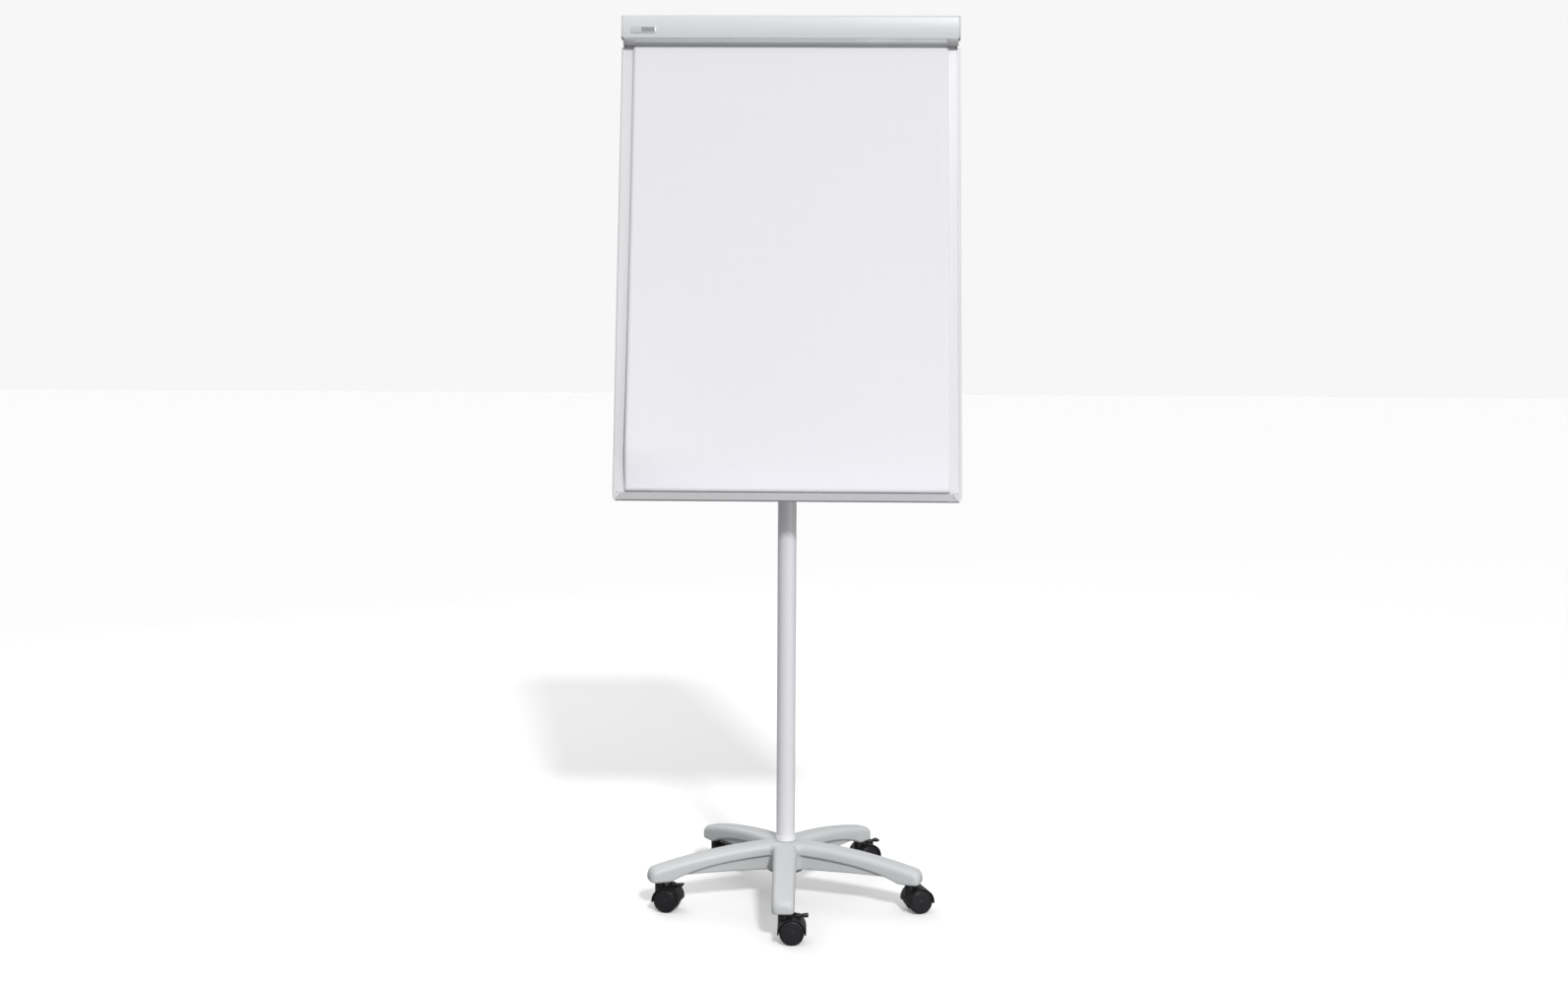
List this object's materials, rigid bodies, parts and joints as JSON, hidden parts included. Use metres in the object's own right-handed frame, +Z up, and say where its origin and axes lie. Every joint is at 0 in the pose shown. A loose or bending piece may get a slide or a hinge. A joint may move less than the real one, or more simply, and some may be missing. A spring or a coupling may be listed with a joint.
{
  "type": "flipchart easel",
  "caption": "Mobile flipchart easel: tilted steel-faced board with hinged pad clamp, paper pad and pen tray on a height-adjustable column and a star base with braked castors.",
  "frame": {"origin": "on the floor, on the column's axis", "axes": "+Z up, the board faces -Y, +X to the right as seen from the front"},
  "size_m": [0.7, 0.5488, 1.8232],
  "materials": {
    "base_plastic": "fine moulded texture, light grey",
    "tube_paint": "powder coat, light grey",
    "rail_paint": "smooth coat, off-white",
    "cheek_plastic": "moulded, off-white",
    "bar_paint": "satin coat, light grey",
    "bar_end_plastic": "moulded, light grey",
    "jaw_plastic": "soft matt grey",
    "writing_face": "enamelled steel, satin white",
    "back_paint": "matt grey coat",
    "core_board": "raw particle board",
    "card": "grey-brown card",
    "paper": "uncoated white paper with a faint square grid",
    "zinc_steel": "zinc plated",
    "black_plastic": "moulded black",
    "castor_plastic": "moulded black, slight sheen",
    "wheel_plastic": "moulded charcoal, fine texture"
  },
  "bodies": {
    "base": {"star_base": "base_plastic", "base_plate": "zinc_steel", "column_bolt": "zinc_steel", "foot_collar": "tube_paint", "column_tube": "tube_paint", "foot_insert": "black_plastic", "guide_bush": "black_plastic", "clamp_collar": "black_plastic"},
    "knob": {"clamp_knob": "black_plastic"},
    "board": {"mast_tube": "tube_paint", "mast_glide": "black_plastic", "mast_cap": "black_plastic", "saddle_brackets": "tube_paint", "saddle_screws": "zinc_steel", "board_core": "core_board", "steel_face": "writing_face", "back_sheet": "back_paint", "left_rail": "rail_paint", "right_rail": "rail_paint", "top_rail": "rail_paint", "pen_tray": "rail_paint", "tray_cheeks": "cheek_plastic", "hinge_brackets": "zinc_steel", "pad_backing": "card", "paper_block": "paper", "top_sheet": "paper"},
    "clamp": {"clamp_bar": "bar_paint", "clamp_jaw": "jaw_plastic", "clamp_ends": "bar_end_plastic", "hinge_pins": "zinc_steel"},
    "hook_left": {"left_hook": "zinc_steel"},
    "hook_right": {"right_hook": "zinc_steel"},
    "castor_front": {"castor_front_stem": "zinc_steel", "castor_front_hood": "castor_plastic", "castor_front_axle": "zinc_steel"},
    "castor_front_near": {"castor_front_near_wheel": "wheel_plastic"},
    "castor_front_far": {"castor_front_far_wheel": "wheel_plastic"},
    "castor_front_pedal": {"castor_front_brake": "castor_plastic"},
    "castor_right_front": {"castor_right_front_stem": "zinc_steel", "castor_right_front_hood": "castor_plastic", "castor_right_front_axle": "zinc_steel"},
    "castor_right_front_near": {"castor_right_front_near_wheel": "wheel_plastic"},
    "castor_right_front_far": {"castor_right_front_far_wheel": "wheel_plastic"},
    "castor_right_rear": {"castor_right_rear_stem": "zinc_steel", "castor_right_rear_hood": "castor_plastic", "castor_right_rear_axle": "zinc_steel"},
    "castor_right_rear_near": {"castor_right_rear_near_wheel": "wheel_plastic"},
    "castor_right_rear_far": {"castor_right_rear_far_wheel": "wheel_plastic"},
    "castor_right_rear_pedal": {"castor_right_rear_brake": "castor_plastic"},
    "castor_left_rear": {"castor_left_rear_stem": "zinc_steel", "castor_left_rear_hood": "castor_plastic", "castor_left_rear_axle": "zinc_steel"},
    "castor_left_rear_near": {"castor_left_rear_near_wheel": "wheel_plastic"},
    "castor_left_rear_far": {"castor_left_rear_far_wheel": "wheel_plastic"},
    "castor_left_front": {"castor_left_front_stem": "zinc_steel", "castor_left_front_hood": "castor_plastic", "castor_left_front_axle": "zinc_steel"},
    "castor_left_front_near": {"castor_left_front_near_wheel": "wheel_plastic"},
    "castor_left_front_far": {"castor_left_front_far_wheel": "wheel_plastic"},
    "castor_left_front_pedal": {"castor_left_front_brake": "castor_plastic"}
  },
  "joints": [
    {"name": "height_slide", "type": "slide", "parent": "base", "child": "board", "axis": [0, 0, 1], "range_m": [0, 0.2]},
    {"name": "knob_turn", "type": "hinge", "parent": "base", "child": "knob", "pos_m": [0, 0, 0.8855], "axis": [0, 1, 0], "range_deg": [0, 360]},
    {"name": "clamp_hinge", "type": "hinge", "parent": "board", "child": "clamp", "pos_m": [0, 0.15047, 1.80221], "axis": [-1, 0, 0], "range_deg": [0, 70]},
    {"name": "left_hook_slide", "type": "slide", "parent": "board", "child": "hook_left", "axis": [1, 0, 0], "range_m": [-0.01, 0.01]},
    {"name": "right_hook_slide", "type": "slide", "parent": "board", "child": "hook_right", "axis": [1, 0, 0], "range_m": [-0.01, 0.01]},
    {"name": "castor_front_swivel", "type": "hinge", "parent": "base", "child": "castor_front", "pos_m": [0, -0.267, 0.05], "axis": [0, 0, 1], "continuous": true},
    {"name": "castor_front_near_roll", "type": "hinge", "parent": "castor_front", "child": "castor_front_near", "pos_m": [0.017, -0.267, 0.024], "axis": [0, 1, 0], "continuous": true},
    {"name": "castor_front_far_roll", "type": "hinge", "parent": "castor_front", "child": "castor_front_far", "pos_m": [0.017, -0.267, 0.024], "axis": [0, 1, 0], "continuous": true},
    {"name": "castor_front_brake_press", "type": "hinge", "parent": "castor_front", "child": "castor_front_pedal", "pos_m": [0.027, -0.267, 0.051], "axis": [0, 1, 0], "range_deg": [0, 18]},
    {"name": "castor_right_front_swivel", "type": "hinge", "parent": "base", "child": "castor_right_front", "pos_m": [0.25393, -0.08251, 0.05], "axis": [0, 0, 1], "continuous": true},
    {"name": "castor_right_front_near_roll", "type": "hinge", "parent": "castor_right_front", "child": "castor_right_front_near", "pos_m": [0.2701, -0.07725, 0.024], "axis": [-0.309, 0.9511, 0], "continuous": true},
    {"name": "castor_right_front_far_roll", "type": "hinge", "parent": "castor_right_front", "child": "castor_right_front_far", "pos_m": [0.2701, -0.07725, 0.024], "axis": [-0.309, 0.9511, 0], "continuous": true},
    {"name": "castor_right_rear_swivel", "type": "hinge", "parent": "base", "child": "castor_right_rear", "pos_m": [0.15694, 0.21601, 0.05], "axis": [0, 0, 1], "continuous": true},
    {"name": "castor_right_rear_near_roll", "type": "hinge", "parent": "castor_right_rear", "child": "castor_right_rear_near", "pos_m": [0.17209, 0.22373, 0.024], "axis": [-0.454, 0.891, 0], "continuous": true},
    {"name": "castor_right_rear_far_roll", "type": "hinge", "parent": "castor_right_rear", "child": "castor_right_rear_far", "pos_m": [0.17209, 0.22373, 0.024], "axis": [-0.454, 0.891, 0], "continuous": true},
    {"name": "castor_right_rear_brake_press", "type": "hinge", "parent": "castor_right_rear", "child": "castor_right_rear_pedal", "pos_m": [0.181, 0.22826, 0.051], "axis": [-0.454, 0.891, 0], "range_deg": [0, 18]},
    {"name": "castor_left_rear_swivel", "type": "hinge", "parent": "base", "child": "castor_left_rear", "pos_m": [-0.15694, 0.21601, 0.05], "axis": [0, 0, 1], "continuous": true},
    {"name": "castor_left_rear_near_roll", "type": "hinge", "parent": "castor_left_rear", "child": "castor_left_rear_near", "pos_m": [-0.14003, 0.21423, 0.024], "axis": [0.1045, 0.9945, 0], "continuous": true},
    {"name": "castor_left_rear_far_roll", "type": "hinge", "parent": "castor_left_rear", "child": "castor_left_rear_far", "pos_m": [-0.14003, 0.21423, 0.024], "axis": [0.1045, 0.9945, 0], "continuous": true},
    {"name": "castor_left_front_swivel", "type": "hinge", "parent": "base", "child": "castor_left_front", "pos_m": [-0.25393, -0.08251, 0.05], "axis": [0, 0, 1], "continuous": true},
    {"name": "castor_left_front_near_roll", "type": "hinge", "parent": "castor_left_front", "child": "castor_left_front_near", "pos_m": [-0.2373, -0.08604, 0.024], "axis": [0.2079, 0.9781, 0], "continuous": true},
    {"name": "castor_left_front_far_roll", "type": "hinge", "parent": "castor_left_front", "child": "castor_left_front_far", "pos_m": [-0.2373, -0.08604, 0.024], "axis": [0.2079, 0.9781, 0], "continuous": true},
    {"name": "castor_left_front_brake_press", "type": "hinge", "parent": "castor_left_front", "child": "castor_left_front_pedal", "pos_m": [-0.22752, -0.08812, 0.051], "axis": [0.2079, 0.9781, 0], "range_deg": [0, 18]}
  ]
}
